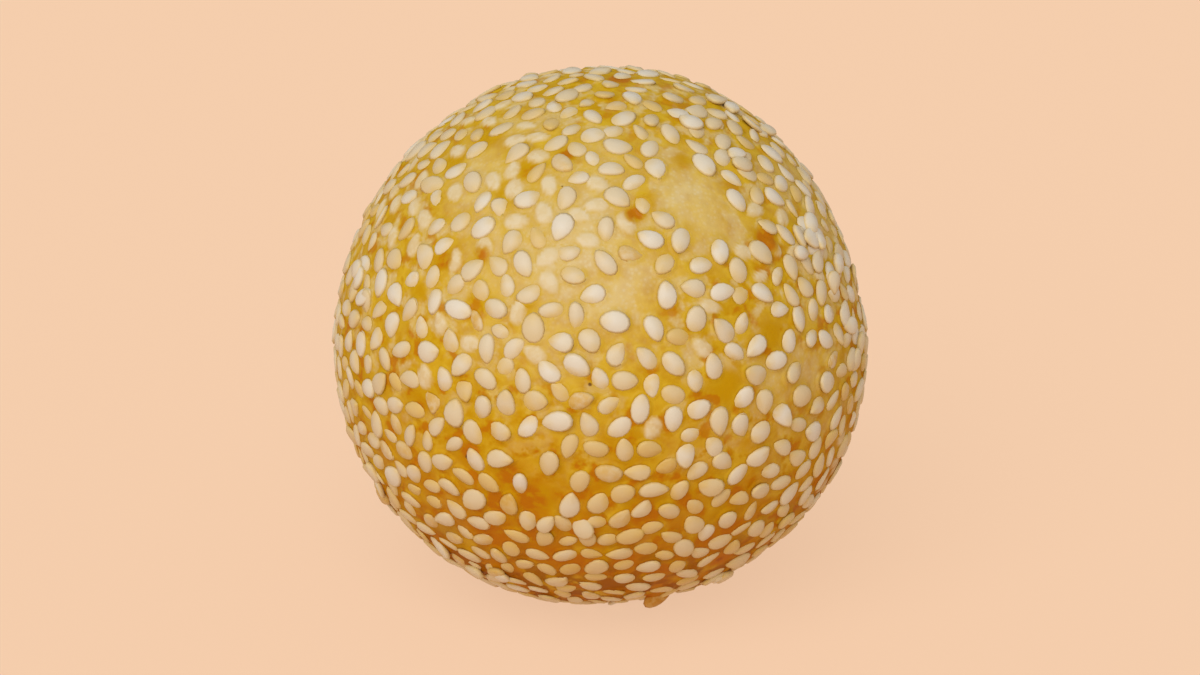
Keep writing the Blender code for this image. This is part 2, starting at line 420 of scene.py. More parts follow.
def lattice_noise(points, cell, seed):
    """Smooth noise from -1 to 1: random values at the corners of a lattice of that cell, eased from one to
    the next by 3t^2 - 2t^3 along each axis."""
    table = np.random.default_rng(seed).uniform(-1, 1, (NOISE_CELLS,) * 3)
    scaled = points / cell
    base = np.floor(scaled).astype(int)
    t = scaled - base
    t = t * t * (3 - 2 * t)
    total = np.zeros(points.shape[:-1])
    for corner in np.ndindex(2, 2, 2):
        share = np.prod(np.where(corner, t, 1 - t), axis=-1)
        spot = (base + corner) % NOISE_CELLS
        total += share * table[spot[..., 0], spot[..., 1], spot[..., 2]]
    return total


def dough_surface(ways):
    """Distance from the ball's centre to the dough's surface: the swollen ball and its two unevennesses."""
    places = ways * DOUGH_RADIUS
    uneven = sum(depth * lattice_noise(places, cell, seed) for depth, cell, seed in UNEVENNESS.values())
    radius = dough_radius(ways.reshape(-1, 3)).reshape(ways.shape[:-1])
    return radius + uneven


def full_width(taper):
    """sqrt(1 - x^2) ((1 - x) / 2)^taper at its highest, which is at x = -taper / (1 + taper)."""
    widest = taper / (1 + taper)
    return np.sqrt(1 - widest**2) * ((1 + widest) / 2) ** taper


def teardrop_width(x, taper):
    """Half width of a seed's outline at x, from -1 at the round end to 1 at the point: sqrt(1 - x^2) narrowed
    towards the point by ((1 - x) / 2)^taper, and scaled so that the widest place is 1."""
    return np.sqrt(np.clip(1 - x * x, 0, 1)) * np.clip((1 - x) / 2, 0, 1) ** taper / full_width(taper)


def seed_forms(seeds, draw):
    """What makes each seed's form its own: its taper, bend, skew, bluntness, lumps and half sizes."""
    count = len(seeds["way"])
    thickness = SEED_THICKNESS * np.clip(draw.normal(1, THICKNESS_SPREAD, count), *THICKNESS_BOUNDS)
    length = seeds["length"]
    return {
        "taper": np.clip(draw.normal(SEED_TAPER, TAPER_SPREAD, count), *TAPER_BOUNDS),
        "bend": draw.normal(0, BEND_SPREAD, count),
        "skew": draw.normal(0, SKEW_SPREAD, count),
        "blunt": draw.uniform(0.0, BLUNTEST, count),
        "lump": draw.normal(0, LUMP_SPREAD, count),
        "lump_turn": draw.uniform(0, 2 * np.pi, count),
        "halves": np.stack([length, length * seeds["slimness"], thickness], axis=1) / 2,
    }


def seed_points(seeds, forms, chosen, sides, latitudes_deg):
    """Points on the chosen seeds as a (seed, ring, side, xyz) grid.

    A ring at latitude b, side a: along = L/2 cos a cos^r b, across = W/2 width(cos a) sign(sin a) cos^r b,
    out = T/2 sin b, where r is the rounding. With x = cos a, the outline is also bent by 1 - 2x^2, skewed by
    x (1 - |x|), blunted at its point by x^3, and made lumpy by cos 3a, each by a little.
    """
    a = 2 * np.pi * np.arange(sides) / sides
    b = np.radians(latitudes_deg)[None, :, None]
    keys = ("taper", "bend", "skew", "blunt", "lump", "lump_turn")
    taper, bend, skew, blunt, lump, lump_turn = (forms[key][chosen][:, None, None] for key in keys)
    x = np.cos(a)[None, None, :] * np.ones((len(chosen), 1, 1))
    y = teardrop_width(x, taper) * np.sign(np.sin(a))
    y = y + bend * (1 - 2 * x * x) + skew * x * (1 - np.abs(x))
    x = x - blunt * np.clip(x, 0, 1) ** 3
    ring = np.cos(b) ** SEED_ROUNDING * (1 + lump * np.cos(3 * a + lump_turn))
    unit_points = np.stack([x * ring, y * ring, np.sin(b) * np.ones_like(x)], axis=-1)
    return in_place(seeds, forms, chosen, unit_points)


def seed_middles(seeds):
    """The seeds' middles: out from the ball's centre along each way, as far as each stands."""
    return CENTRE + seeds["way"] * seeds["stand"][:, None]


def in_place(seeds, forms, chosen, unit_points):
    """Points given on seeds of half sizes 1, (seed, ..., xyz), scaled and set along the seeds' own axes."""
    spare = (1,) * (unit_points.ndim - 2)
    scaled = unit_points * forms["halves"][chosen].reshape(-1, *spare, 3)
    along, across, out = (axis[chosen].reshape(-1, *spare, 3) for axis in seed_axes(seeds))
    middle = seed_middles(seeds)[chosen].reshape(-1, *spare, 3)
    return middle + scaled[..., :1] * along + scaled[..., 1:2] * across + scaled[..., 2:] * out


def seed_shells(seeds, forms, chosen):
    """The chosen seeds' points: their rings, then the pole below and the pole above."""
    count = len(chosen)
    rings = seed_points(seeds, forms, chosen, SEED_SIDES, SEED_RINGS_DEG).reshape(count, -1, 3)
    poles = np.tile(SEED_POLES, (count, 1, 1))
    return np.concatenate([rings, in_place(seeds, forms, chosen, poles)], axis=1)


def clinging_dough(seeds, forms, chosen):
    """The dough that clings round each chosen seed, as (seed, ring, side, xyz).

    The first ring is the line where the dough meets the seed: on the seed's surface, a little over its rim,
    but held between the lowest and the highest cling. It is found between sampled rings by a straight share
    of their heights. From there the dough slopes down to its foot and runs out just under the skin, and a
    last ring below closes it.
    """
    sampled = seed_points(seeds, forms, chosen, SEED_SIDES, WATERLINE_DEG)
    height = np.linalg.norm(sampled - CENTRE, axis=-1) - dough_surface(unit(sampled - CENTRE))
    rim = height[:, WATERLINE_DEG.index(0)]
    wobble = lattice_noise(sampled[:, 0], WOBBLE_CELL, WOBBLE_DRAW)
    cling = np.clip(rim + CLING_OVER_RIM, CLING_LOWEST, CLING_HIGHEST) * (1 + HEIGHT_WOBBLE * wobble)
    upper = np.clip(np.argmax(height >= cling[:, None], axis=1), 1, None)
    lows = np.take_along_axis(height, upper[:, None] - 1, axis=1)[:, 0]
    highs = np.take_along_axis(height, upper[:, None], axis=1)[:, 0]
    share = np.clip((cling - lows) / np.maximum(highs - lows, LEAST_RISE), 0, 1)[..., None]
    index = upper[:, None, :, None]
    meeting = (1 - share) * np.take_along_axis(sampled, index - 1, axis=1)[:, 0]
    meeting = meeting + share * np.take_along_axis(sampled, index, axis=1)[:, 0]
    up = seeds["way"][chosen][:, None]
    outward = meeting - seed_middles(seeds)[chosen][:, None]
    outward = unit(outward - (outward * up).sum(-1, keepdims=True) * up)
    rings = [meeting - CLING_TUCK * outward]
    slope = (CLING_SLOPE[0], cling * CLING_SLOPE[1])
    for reach, above in (slope, CLING_FOOT, CLING_EDGE, CLING_ROOT):
        ways = unit(meeting + reach * (1 + REACH_WOBBLE * wobble[..., None]) * outward - CENTRE)
        rings.append(CENTRE + ways * (dough_surface(ways) + above)[..., None])
    return np.stack(rings, axis=1)


def ring_faces(count, rings):
    """Quads all round a closed band of rings, for each of count seeds. They face out where ring 0 is on top
    and the sides go round anticlockwise as seen from outside."""
    side = np.arange(SEED_SIDES)
    after = (side + 1) % SEED_SIDES
    ring = (np.arange(rings) * SEED_SIDES)[:, None]
    below = (((np.arange(rings) + 1) % rings) * SEED_SIDES)[:, None]
    quads = np.stack([ring + side, below + side, below + after, ring + after], axis=-1).reshape(1, -1, 4)
    return (quads + rings * SEED_SIDES * np.arange(count)[:, None, None]).reshape(-1, 4)


def shell_faces(count):
    """Quads between neighbouring rings, and triangles to the two poles, for each of count seeds."""
    rings = len(SEED_RINGS_DEG)
    side = np.arange(SEED_SIDES)
    after = (side + 1) % SEED_SIDES
    ring = np.arange(rings - 1)[:, None] * SEED_SIDES
    higher = ring + SEED_SIDES
    quads = np.stack([ring + side, ring + after, higher + after, higher + side], axis=-1)
    low, high = rings * SEED_SIDES, rings * SEED_SIDES + 1
    top = (rings - 1) * SEED_SIDES
    under = np.stack([np.full(SEED_SIDES, low), after, side], axis=-1)
    over = np.stack([np.full(SEED_SIDES, high), top + side, top + after], axis=-1)
    step = (high + 1) * np.arange(count)[:, None, None]
    return ((quads.reshape(1, -1, 4) + step).reshape(-1, 4),
            (np.concatenate([under, over])[None] + step).reshape(-1, 3))


def mesh_piece(name, points, quads, triangles, values):
    """A smooth object of these points and faces, with an attribute on its points for each of the values."""
    mesh = bpy.data.meshes.new(name)
    corners = np.concatenate([quads.ravel(), triangles.ravel()]).astype(np.int32)
    sides = np.concatenate([np.full(len(quads), 4), np.full(len(triangles), 3)])
    mesh.vertices.add(len(points))
    mesh.vertices.foreach_set("co", points.astype(np.float32).ravel())
    mesh.loops.add(len(corners))
    mesh.loops.foreach_set("vertex_index", corners)
    mesh.polygons.add(len(sides))
    mesh.polygons.foreach_set("loop_start", (np.cumsum(sides) - sides).astype(np.int32))
    mesh.polygons.foreach_set("use_smooth", np.ones(len(sides), dtype=bool))
    mesh.update(calc_edges=True)
    for key, numbers in values.items():
        attribute = mesh.attributes.new(key, "FLOAT", "POINT")
        attribute.data.foreach_set("value", numbers.astype(np.float32))
    piece = bpy.data.objects.new(name, mesh)
    bpy.context.scene.collection.objects.link(piece)
    return piece


def ball_grid(cells):
    """Unit ways and quads all over a ball: a square grid on each side of a cube, its lines at equal angles
    (tan of -45 to 45 degrees), pushed out to the ball and joined along the cube's edges."""
    lines = cells + 1
    a, b = np.meshgrid(np.arange(lines), np.arange(lines), indexing="ij")
    lattice = []
    order = []
    for axis in range(3):
        for end in (0, cells):
            side = np.zeros((lines, lines, 3), dtype=int)
            side[..., axis] = end
            side[..., (axis + 1) % 3] = a
            side[..., (axis + 2) % 3] = b
            number = (len(lattice) * lines**2 + np.arange(lines**2)).reshape(lines, lines)
            quad = np.stack([number[:-1, :-1], number[1:, :-1], number[1:, 1:], number[:-1, 1:]], axis=-1)
            order.append(quad.reshape(-1, 4) if end else quad.reshape(-1, 4)[:, ::-1])
            lattice.append(side.reshape(-1, 3))
    lattice = np.concatenate(lattice)
    code = lattice @ np.array([lines**2, lines, 1])
    _, first, place = np.unique(code, return_index=True, return_inverse=True)
    ways = unit(np.tan((lattice[first] / cells - 0.5) * np.pi / 2))
    return ways, place.ravel()[np.concatenate(order)]


NO_TRIANGLES = np.zeros((0, 3), dtype=int)


def near_pairs(ways, targets, reach):
    """Index pairs (point, target) of all nearer than reach on the ball, found a block of points at a time."""
    limit = math.cos(reach / DOUGH_RADIUS)
    found = []
    start = 0
    for block in np.array_split(ways.astype(np.float32), PAIR_BLOCKS):
        point, target = np.nonzero(block @ targets.T.astype(np.float32) > limit)
        found.append(np.stack([point + start, target]))
        start += len(block)
    return np.concatenate(found, axis=1)


def seed_distance(ways, seeds, point, target):
    """How far each point is from its seed's middle, in half seeds: 0 in the middle and 1 on the outline, by
    sqrt(x^2 + (y / width(x))^2), where width(x) is ((1 - x) / 2)^taper over its full width."""
    along, across, _ = seed_axes(seeds)
    apart = (ways[point] - seeds["way"][target]) * DOUGH_RADIUS
    x = np.einsum("ij,ij->i", apart, along[target]) / (seeds["length"][target] / 2)
    y = np.einsum("ij,ij->i", apart, across[target]) / (seeds["length"] * seeds["slimness"] / 2)[target]
    width = ((1 - np.clip(x, -1, POINT_HELD)) / 2) ** SEED_TAPER / full_width(SEED_TAPER)
    return np.hypot(x, y / width)


def smooth_step(values, low, high):
    """3t^2 - 2t^3, where t goes from 0 to 1 as the values go from low to high."""
    t = np.clip((values - low) / (high - low), 0, 1)
    return t * t * (3 - 2 * t)


def strongest(ways, marks):
    """The strongest of the marks at each way. Each is a bell, given as degrees round, degrees up, width in
    degrees and strength."""
    share = np.zeros(len(ways))
    for round_deg, up_deg, width_deg, strength in marks:
        share = np.maximum(share, strength * bell(ways, round_deg, up_deg, width_deg))
    return share


def made_uneven(share, ways, depth, cell, seed):
    """The share with noise of that depth added, held between 0 and 1."""
    return np.clip(share + depth * lattice_noise(ways * DOUGH_RADIUS, cell, seed), 0, 1)


def dough_marks(ways):
    """How hazy, how clear and how toasted the dough is at each way: clear pools have none of the hazy
    paleness, which on the upper front is partly a painted highlight.
    """
    # Pale, bubbly dough, and on the upper front a painted highlight
    haze_and_highlight = made_uneven(strongest(ways, HAZES_AND_HIGHLIGHT.values()), ways, *HAZE_NOISE)
    pools = [(*pool, 1) for pool in AMBER_POOLS.values()]
    clear = made_uneven(strongest(ways, pools), ways, *POOL_NOISE)
    spots = [(round_deg, up_deg, math.degrees(radius / DOUGH_RADIUS), strength)
             for round_deg, up_deg, radius, strength in TOASTED_SPOTS.values()]
    return {"haze_and_highlight": haze_and_highlight * (1 - clear), "clear": clear, "toast": strongest(ways, spots)}


def skin(seeds):
    """The dough's surface: the swollen, slightly uneven ball with its blisters, the film that hides the
    deepest seeds, the dough drawn up under the heaps and the flat spot it rests on.

    Over a hidden seed the skin rises to its top, and under a heaped one to the height of the fill, by
    1 - smooth step of the distance from the seed's middle. Its attributes are haze, clear and toast, film,
    which is 1 over a hidden seed, and near, which is 1 at any seed and 0 from a third of a seed away.
    """
    ways, quads = ball_grid(SKIN_CELLS)
    point, target = near_pairs(ways, seeds["way"], PAIR_REACH)
    far = seed_distance(ways, seeds, point, target)
    near = np.zeros(len(ways))
    np.maximum.at(near, point, 1 - smooth_step(far, *NEAR_FADE))
    raised = np.zeros(len(ways))
    heaped = seeds["lift"][target] > LOWEST_HEAPED
    np.maximum.at(raised, point[heaped], HEAP_FILL * (1 - smooth_step(far[heaped], *HEAP_FILL_SLOPE)))
    hidden = seeds["lift"][target] < FILMED_BELOW
    point, target, far = point[hidden], target[hidden], far[hidden]
    top = np.clip(seeds["lift"][target] + SEED_THICKNESS / 2 + FILM_THICKNESS, FILM_LOWEST, None)
    np.maximum.at(raised, point, top * (1 - smooth_step(far, *FILM_SLOPE)))
    film = np.zeros(len(ways))
    np.maximum.at(film, point, 1 - smooth_step(far, *FILM_SHOWS))
    radius = flattened(dough_surface(ways) + np.maximum(blisters(ways), raised), ways)
    return mesh_piece("dough_skin", CENTRE + ways * radius[:, None], quads, NO_TRIANGLES,
                      {**dough_marks(ways), "near": near, "film": film})


def collars(seeds, forms, chosen):
    """The dough that clings to the chosen seeds, as one object. Its faces on the hidden side aren't smoothed,
    so that they don't turn the shading of those that show."""
    points = clinging_dough(seeds, forms, chosen)
    rings = points.shape[1]
    points = points.reshape(-1, 3)
    ways = unit(points - CENTRE)
    points[:, 2] = np.maximum(points[:, 2], SKIN_FLOOR / 2)
    near = np.tile(np.repeat(NEAR_ON_RINGS, SEED_SIDES), len(chosen))
    piece = mesh_piece("dough_round_seeds", points, ring_faces(len(chosen), rings), NO_TRIANGLES,
                       {**dough_marks(ways), "near": near})
    shown = np.tile(np.repeat(np.arange(rings) < rings - 2, SEED_SIDES), len(chosen))
    piece.data.polygons.foreach_set("use_smooth", shown)
    return piece


def blisters(ways):
    """Height of the small round bubbles under the skin, closest together in the pale patch: at d from its
    middle, each rises by height (1 - (d / radius)^2)^2."""
    draw = np.random.default_rng(BLISTER_DRAW)
    all_over = unit(draw.normal(size=(BLISTERS_ALL_OVER, 3)))
    patch = direction(*BARE_PATCHES["pale patch, upper right"][:2])
    crowded = unit(patch + draw.normal(0, BLISTER_SPREAD, (BLISTERS_IN_PATCH, 3)))
    middles = np.concatenate([all_over, crowded])
    radius = draw.uniform(*BLISTER_RADII, len(middles))
    height = radius * draw.uniform(*BLISTER_HEIGHTS, len(middles))
    point, target = near_pairs(ways, middles, BLISTER_REACH)
    apart = np.linalg.norm(ways[point] - middles[target], axis=1) * DOUGH_RADIUS
    raised = height[target] * np.clip(1 - (apart / radius[target]) ** 2, 0, 1) ** 2
    total = np.zeros(len(ways))
    np.maximum.at(total, point, raised)
    return total


def flattened(radius, ways):
    """The radius held to the resting plane, with a soft edge: -k log(exp(-radius / k) + exp(-plane / k)).
    Ways that don't lead down take a plane too far off to matter."""
    plane = (CENTRE_HEIGHT - SKIN_FLOOR) / np.clip(-ways[:, 2], LEAST_DOWN, None)
    low = np.minimum(radius, plane)
    return low - FLAT_EDGE * np.log(np.exp(-(radius - low) / FLAT_EDGE) + np.exp(-(plane - low) / FLAT_EDGE))


def seed_piece(name, seeds, forms, chosen, tone_and_shade, toast):
    """The chosen seeds as one object. Its attributes are tone, from 0, golden, to 1, white, toast, up to 1 as
    they brown and on to 2 as they burn, and edge, which is 1 at the dough, falls to 0 well above it and at
    the middle of the seed, and reaches further in at its point."""
    points = seed_shells(seeds, forms, chosen)
    per_seed = points.shape[1]
    points = points.reshape(-1, 3)
    distance = np.linalg.norm(points - CENTRE, axis=1)
    above = distance - dough_radius((points - CENTRE) / distance[:, None])
    points[:, 2] = np.maximum(points[:, 2], 0.0)
    quads, triangles = shell_faces(len(chosen))
    point = np.clip(np.cos(2 * np.pi * np.arange(SEED_SIDES) / SEED_SIDES), 0, 1) ** 2
    edge = np.clip(np.array(EDGE_ON_RINGS)[:, None] + EDGE_AT_POINT * point, 0, 1)
    edge = np.tile(np.concatenate([edge.ravel(), EDGE_AT_POLES]), len(chosen))
    values = {
        "tone_and_shade": np.repeat(tone_and_shade[chosen], per_seed),
        "toast": np.repeat(toast[chosen], per_seed),
        "edge": np.maximum(edge, 1 - smooth_step(above, *EDGE_FADE)),
    }
    return mesh_piece(name, points, quads, triangles, values)


def node(tree, kind, inputs=None, **settings):
    """A new shader node with its settings. An input given as a socket is linked, any other is set."""
    made = tree.nodes.new(kind)
    for key, value in settings.items():
        setattr(made, key, value)
    for key, value in (inputs or {}).items():
        if isinstance(value, bpy.types.NodeSocket):
            tree.links.new(value, made.inputs[key])
        else:
            made.inputs[key].default_value = value
    return made


def start_material(name, **constants):
    """A material, its tree and its Principled shader, on which the constants are set."""
    material = bpy.data.materials.new(name)
    material.use_nodes = True
    tree = material.node_tree
    shader = tree.nodes["Principled BSDF"]
    for key, value in constants.items():
        shader.inputs[key.replace("_", " ")].default_value = value
    return material, tree, shader


def mixed(tree, share, first, second):
    """Colour that goes from the first to the second as the share goes from 0 to 1."""
    return node(tree, "ShaderNodeMix", {0: share, 6: first, 7: second}, data_type="RGBA").outputs[2]


def ranged(tree, value, low, high, to_low=0.0, to_high=1.0):
    """The value carried smoothly from the range low to high into another."""
    return node(tree, "ShaderNodeMapRange", {0: value, 1: low, 2: high, 3: to_low, 4: to_high},
                interpolation_type="SMOOTHSTEP").outputs[0]


def times(tree, first, second):
    """The product of the two."""
    return node(tree, "ShaderNodeMath", {0: first, 1: second}, operation="MULTIPLY").outputs[0]


def plus(tree, first, second):
    """The sum of the two."""
    return node(tree, "ShaderNodeMath", {0: first, 1: second}, operation="ADD").outputs[0]


def attribute(tree, name):
    """The mesh attribute of that name."""
    return node(tree, "ShaderNodeAttribute", attribute_name=name).outputs["Fac"]


def noise(tree, place, per_metre, detail):
    """Noise with that many cells to the metre and octaves of detail."""
    inputs = {"Vector": place, "Scale": per_metre, "Detail": detail, "Roughness": 0.5}
    return node(tree, "ShaderNodeTexNoise", inputs).outputs["Fac"]


def finish_surface(tree, shader, colour, relief, depth, strength):
    """Gives the shader its colour, and its relief as a bump of that depth in metres and strength."""
    tree.links.new(colour, shader.inputs["Base Color"])
    bump = node(tree, "ShaderNodeBump", {"Height": relief, "Distance": depth, "Strength": strength})
    tree.links.new(bump.outputs["Normal"], shader.inputs["Normal"])


# Colours of the dough
DEEP_AMBER = (0.47, 0.25, 0.0005, 1)
LIGHT_AMBER = (0.58, 0.37, 0.020, 1)
# Pale, hazy dough, which on the upper front is partly a painted highlight
PALE_DOUGH_AND_HIGHLIGHT = (0.61, 0.50, 0.28, 1)
BESIDE_SEED = (0.52, 0.325, 0.010, 1)
# Darker orange for low down: partly the dough's fry colour, partly painted shade
LOW_ORANGE_AND_SHADE = (0.43, 0.152, 0.0005, 1)
BURNT_ORANGE = (0.43, 0.14, 0.0005, 1)
# Dark patches low down: partly scorched dough, partly painted shade
SCORCHED_AND_SHADE = (0.27, 0.080, 0.0005, 1)
TOASTED = (0.42, 0.135, 0.001, 1)
TOAST_CORE = (0.27, 0.060, 0.002, 1)
DARK_SPECK = (0.10, 0.035, 0.008, 1)
FILMED_SEED = (0.63, 0.52, 0.33, 1)

# Scales of the dough's patterns, in cells to the metre
PATCH_SCALE = 300
FINE_SCALE = 950
BUBBLE_SCALE = 1900
ORANGE_SCALE = 260
CLOUD_SCALE = 380
FLECK_SCALE = 460
SCORCH_SCALE = 420
TOAST_SCALE = 900
SPECK_SCALE = 3500
RELIEF_SCALE = 1500

# Heights over which each look of the dough comes in, how ragged the specks are and how deep the relief, all
# in metres. A speck's edge is in its own radii. Higher up the dough comes out paler and lower down more
# orange
# and darker: partly its fry colour, partly painted light from above and painted shade below
SPECK_EDGE = (2.1, 1.2)
ORANGE_AND_SHADE_HEIGHTS = (0.040, 0.008)
CLOUD_HEIGHTS = (0.018, 0.044)
BESIDE_SEED_HEIGHTS = (0.010, 0.042)
FILM_HEIGHTS = (0.006, 0.034)
FLECK_HEIGHTS = (0.064, 0.020)
SCORCH_AND_SHADE_HEIGHTS = (0.022, 0.006)
SPECK_RAGGEDNESS = 0.00022
DOUGH_RELIEF = 0.00006


def amber_dough(tree, place, height, fine, murky):
    """The amber, and the same without its light patches, as clear dough has it. The light ones show where two
    noises are high and the dough is murky, and both colours are darker and more orange low down: partly the
    dough's fry colour, partly painted shade."""
    patches = ranged(tree, noise(tree, place, PATCH_SCALE, 3), 0.42, 0.60)
    light = plus(tree, times(tree, patches, 0.65), times(tree, fine, 0.35))
    colour = mixed(tree, times(tree, light, murky), DEEP_AMBER, LIGHT_AMBER)
    uneven = ranged(tree, noise(tree, place, ORANGE_SCALE, 2), 0.36, 0.58, 0.25, 1.0)
    # Low down the dough turns darker orange, partly fry colour and partly painted shade
    low = times(tree, ranged(tree, height, *ORANGE_AND_SHADE_HEIGHTS), uneven)
    return mixed(tree, low, colour, LOW_ORANGE_AND_SHADE), mixed(tree, low, DEEP_AMBER, LOW_ORANGE_AND_SHADE)


def hazed_and_highlighted(tree, colour, place, height, bubbles, murky):
    """The colour made pale where the dough is hazy and, higher up, in clouds where it is murky, a little less
    so between the fine bubbles. This is partly painted light: the hazes on the upper front hold a painted
    highlight, and the clouds growing paler higher up stand for light falling from above."""
    clouds = times(tree, ranged(tree, noise(tree, place, CLOUD_SCALE, 3), 0.46, 0.60), murky)
    # The clouds show only higher up: painted light, paler where the light falls from above
    clouds = times(tree, clouds, ranged(tree, height, *CLOUD_HEIGHTS, 0.04, 0.8))
    haze_and_highlight = attribute(tree, "haze_and_highlight")
    haze_and_highlight = plus(tree, haze_and_highlight, times(tree, clouds, ranged(tree, haze_and_highlight, 0.0, 0.5, 1.0, 0.25)))
    haze_and_highlight = times(tree, haze_and_highlight, ranged(tree, bubbles, 0.05, 0.55, 1.0, 0.75))
    # Mixed towards pale dough and its painted highlight
    return mixed(tree, ranged(tree, haze_and_highlight, 0.0, 1.0, 0.0, 0.9), colour, PALE_DOUGH_AND_HIGHLIGHT)


def by_seeds(tree, colour, height, fine):
    """The colour made a little yellower beside the seeds and pale over the hidden ones, more so higher up."""
    near = times(tree, attribute(tree, "near"), ranged(tree, fine, 0.0, 1.0, 0.30, 0.70))
    near = times(tree, near, ranged(tree, height, *BESIDE_SEED_HEIGHTS, 0.15, 1.0))
    colour = mixed(tree, near, colour, BESIDE_SEED)
    film = times(tree, attribute(tree, "film"), ranged(tree, fine, 0.0, 1.0, 0.70, 0.95))
    film = times(tree, film, ranged(tree, height, *FILM_HEIGHTS, 0.6, 1.0))
    return mixed(tree, film, colour, FILMED_SEED)


def flecked(tree, colour, clear_dough, place, height):
    """The colour with flecks of clear dough, burnt orange in the middle, and dark patches low down, partly
    scorched dough and partly painted shade. The flecks keep off the hazy dough, and flecks and patches keep
    off hidden seeds."""
    unfilmed = ranged(tree, attribute(tree, "film"), 0.0, 0.8, 1.0, 0.1)
    flecks = noise(tree, place, FLECK_SCALE, 3)
    share = times(tree, unfilmed, ranged(tree, height, *FLECK_HEIGHTS, 0.5, 1.0))
    share = times(tree, share, ranged(tree, attribute(tree, "haze_and_highlight"), 0.10, 0.45, 0.9, 0.0))
    colour = mixed(tree, times(tree, ranged(tree, flecks, 0.51, 0.59), share), colour, clear_dough)
    colour = mixed(tree, times(tree, ranged(tree, flecks, 0.57, 0.66), share), colour, BURNT_ORANGE)
    # Dark patches near the bottom: partly scorched dough, partly painted shade
    scorch_and_shade = ranged(tree, noise(tree, place, SCORCH_SCALE, 3), 0.38, 0.56, 0.0, 0.9)
    scorch_and_shade = times(tree, scorch_and_shade, ranged(tree, height, *SCORCH_AND_SHADE_HEIGHTS))
    return mixed(tree, times(tree, scorch_and_shade, unfilmed), colour, SCORCHED_AND_SHADE)


def toasted(tree, colour, clear_dough, place):
    """The colour with the toasted spots, broken up by noise: clear dough round them, orange-brown inside, and
    a darker core."""
    broken = ranged(tree, noise(tree, place, TOAST_SCALE, 3), 0.30, 0.60, 0.45, 1.0)
    toast = times(tree, attribute(tree, "toast"), broken)
    colour = mixed(tree, ranged(tree, toast, 0.03, 0.28, 0.0, 0.9), colour, clear_dough)
    colour = mixed(tree, ranged(tree, toast, 0.20, 0.55, 0.0, 0.95), colour, TOASTED)
    return mixed(tree, ranged(tree, toast, 0.70, 1.0, 0.0, 0.6), colour, TOAST_CORE)


def specked(tree, colour, place):
    """The colour with the small dark specks, each a ball round its place whose edge noise makes ragged."""
    ragged = times(tree, noise(tree, place, SPECK_SCALE, 2), SPECK_RAGGEDNESS)
    for round_deg, up_deg, radius in SPECKS.values():
        middle = CENTRE + direction(round_deg, up_deg) * DOUGH_RADIUS
        inputs = {0: place, 1: middle}
        apart = node(tree, "ShaderNodeVectorMath", inputs, operation="DISTANCE").outputs["Value"]
        apart = plus(tree, apart, ragged)
        share = ranged(tree, apart, SPECK_EDGE[0] * radius, SPECK_EDGE[1] * radius, 0.0, 0.85)
        colour = mixed(tree, share, colour, DARK_SPECK)
    return colour


def dough_material():
    """Honey-amber oily skin with its hazes, flecks, scorched patches, toasted spots and specks, and with the
    fine bubbles as relief. Its colour also holds painted light: a painted highlight in the hazes on the upper
    front, paler dough higher up, and painted shade in the darker orange and scorched patches low down."""
    material, tree, shader = start_material(
        "oily dough skin", Roughness=0.5, Specular_IOR_Level=0.0, IOR=1.45,
        Coat_Weight=0.16, Coat_Roughness=0.3)
    place = node(tree, "ShaderNodeTexCoord").outputs["Object"]
    height = node(tree, "ShaderNodeSeparateXYZ", {0: place}).outputs[2]
    fine = ranged(tree, noise(tree, place, FINE_SCALE, 3), 0.38, 0.62)
    bubbles = node(tree, "ShaderNodeTexVoronoi", {"Vector": place, "Scale": BUBBLE_SCALE}).outputs["Distance"]
    murky = ranged(tree, attribute(tree, "clear"), 0.15, 0.75, 1.0, 0.0)
    colour, clear_dough = amber_dough(tree, place, height, fine, murky)
    colour = hazed_and_highlighted(tree, colour, place, height, bubbles, murky)
    colour = by_seeds(tree, colour, height, fine)
    colour = flecked(tree, colour, clear_dough, place, height)
    colour = toasted(tree, colour, clear_dough, place)
    colour = specked(tree, colour, place)
    relief = plus(tree, times(tree, bubbles, 0.5), noise(tree, place, RELIEF_SCALE, 2))
    finish_surface(tree, shader, colour, relief, DOUGH_RELIEF, 0.5)
    return material


# Colours of the seeds, the scale of their grain in cells to the metre and its depth in metres
GOLDEN_SEED = (0.57, 0.40, 0.155, 1)
CREAM_SEED = (0.59, 0.48, 0.31, 1)
WHITE_SEED = (0.63, 0.57, 0.47, 1)
HONEY_EDGE = (0.60, 0.40, 0.085, 1)
BROWNED_SEED = (0.54, 0.33, 0.07, 1)
BURNT_SEED = (0.45, 0.185, 0.003, 1)
GRAIN_SCALE = 1400
GRAIN_RELIEF = 0.00004


